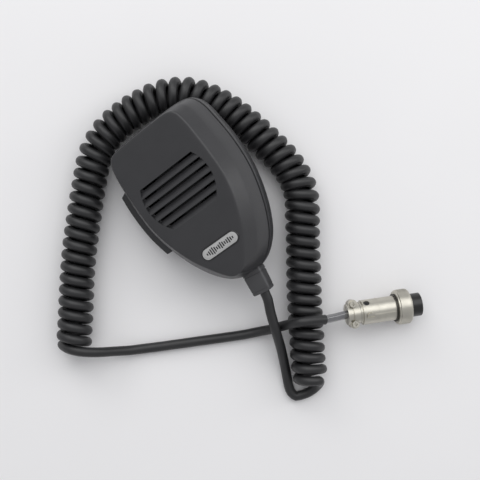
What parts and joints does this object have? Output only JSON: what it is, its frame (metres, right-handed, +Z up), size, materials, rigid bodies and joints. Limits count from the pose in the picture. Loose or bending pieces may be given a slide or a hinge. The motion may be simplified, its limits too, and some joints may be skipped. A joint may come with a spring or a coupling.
{
  "type": "hand microphone",
  "caption": "Hand-held radio microphone with a press-to-talk bar, a slotted grille, a hang-up button, a curly cord and a round locking plug.",
  "frame": {"origin": "bottom centre of the handset's box, on the surface it lies on", "axes": "+Y along the handset away from its cord, +Z up, +X to the handset's right as seen from the front"},
  "size_m": [0.1782, 0.1944, 0.05],
  "materials": {
    "case_plastic": "fine textured charcoal",
    "bar_plastic": "satin black",
    "badge_metal": "satin silver",
    "black_trim": "gloss black",
    "screen_cloth": "open weave",
    "foam": "soft foam",
    "can_metal": "drawn",
    "magnet": "sintered",
    "film": "film",
    "board": "solder mask",
    "component_blue": "sleeve",
    "component_black": "moulded",
    "solder": "tinned",
    "steel": "zinc plated",
    "spring_steel": "spring temper",
    "switch_red": "moulded",
    "wire_red": "insulation",
    "relief_rubber": "matte charcoal",
    "cord_black": "soft sheen",
    "sheath_grey": "gloss dark grey",
    "nickel": "satin nickel plate",
    "insert_black": "moulded phenolic",
    "contact_gold": "gold flash"
  },
  "bodies": {
    "handset": {"front_case": "case_plastic", "rear_case": "case_plastic", "name_badge": "badge_metal", "badge_rim": "black_trim", "dust_screen": "screen_cloth", "capsule_gasket": "foam", "capsule_can": "can_metal", "capsule_magnet": "magnet", "capsule_diaphragm": "film", "circuit_board": "board", "preamp_capacitors": "component_blue", "preamp_transistor": "component_black", "wire_terminals": "solder", "board_screws": "steel", "talk_switch_body": "component_black", "talk_bar_pin": "steel", "talk_bar_spring": "spring_steel", "case_screws": "steel", "hang_up_button": "bar_plastic", "button_screw": "steel", "button_washer": "steel", "cord_anchor": "steel", "anchor_screw": "steel", "lead_wires": "wire_red", "strain_relief": "relief_rubber", "cord_handset_tail": "cord_black", "cord_coil": "cord_black", "cord_plug_tail": "cord_black", "cord_inner_sheath": "sheath_grey", "plug_barrel": "nickel", "plug_clamp_upper": "nickel", "plug_clamp_lower": "nickel", "plug_clamp_screws": "nickel", "plug_set_screw": "black_trim", "plug_boss_screw": "nickel", "plug_retaining_clip": "spring_steel", "plug_insulator": "insert_black", "plug_contacts": "contact_gold"},
    "talk_bar": {"talk_bar": "bar_plastic", "talk_switch_plunger": "switch_red"},
    "coupling_ring": {"plug_coupling_ring": "nickel"}
  },
  "joints": [
    {"name": "talk_bar_press", "type": "hinge", "parent": "handset", "child": "talk_bar", "pos_m": [-0.02532, 0.02987, 0.01311], "axis": [-0.3746, 0, 0.9272], "range_deg": [0, 3], "stiffness_Nm_per_rad": 1.2, "springref_deg": -2.86},
    {"name": "coupling_ring_turn", "type": "hinge", "parent": "handset", "child": "coupling_ring", "pos_m": [0.05573, -0.10378, 0.01009], "axis": [0.8784, -0.4573, -0.1392], "continuous": true}
  ]
}
